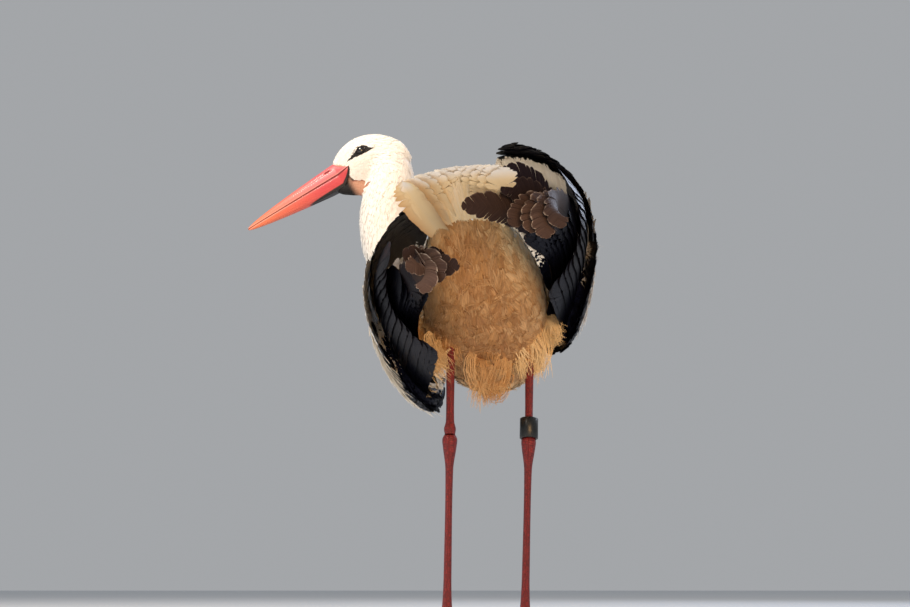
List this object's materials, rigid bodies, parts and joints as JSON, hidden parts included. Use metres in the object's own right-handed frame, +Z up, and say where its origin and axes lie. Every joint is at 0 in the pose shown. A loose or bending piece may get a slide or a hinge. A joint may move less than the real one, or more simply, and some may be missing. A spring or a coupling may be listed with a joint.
{
  "type": "white stork",
  "caption": "Life-size standing white stork, head turned left, wings held loose and low, black flight feathers, red bill and legs, one ring above the heel.",
  "frame": {"origin": "floor level, under the middle of the whole bird's outline", "axes": "+Y the way the body faces, +X its right side, +Z up"},
  "size_m": [0.5334, 0.5522, 0.7564],
  "materials": {
    "white_plumage": "soft matte contour feathers",
    "black_plumage": "black vanes with a faint blue gloss",
    "bill": "horny red sheath, satin",
    "leg_skin": "scaled dark red skin",
    "claw": "blunt brown horn",
    "eye": "wet, near black",
    "ring": "black moulded band, satin"
  },
  "bodies": {
    "root": {"torso": "white_plumage", "tail": "white_plumage", "neck": "white_plumage", "head": "white_plumage", "bill_upper": "bill", "bill_lower": "bill", "eye_right": "eye", "eye_left": "eye", "wing_right": "white_plumage", "primaries_right": "black_plumage", "secondaries_right": "black_plumage", "tertials_right": "black_plumage", "wing_left": "white_plumage", "primaries_left": "black_plumage", "secondaries_left": "black_plumage", "tertials_left": "black_plumage", "thigh_right": "white_plumage", "shin_right": "leg_skin", "tarsus_right": "leg_skin", "foot_right": "leg_skin", "claw_right_inner": "claw", "claw_right_middle": "claw", "claw_right_outer": "claw", "claw_right_hind": "claw", "thigh_left": "white_plumage", "shin_left": "leg_skin", "tarsus_left": "leg_skin", "foot_left": "leg_skin", "claw_left_inner": "claw", "claw_left_middle": "claw", "claw_left_outer": "claw", "claw_left_hind": "claw", "leg_ring": "ring"}
  },
  "joints": []
}
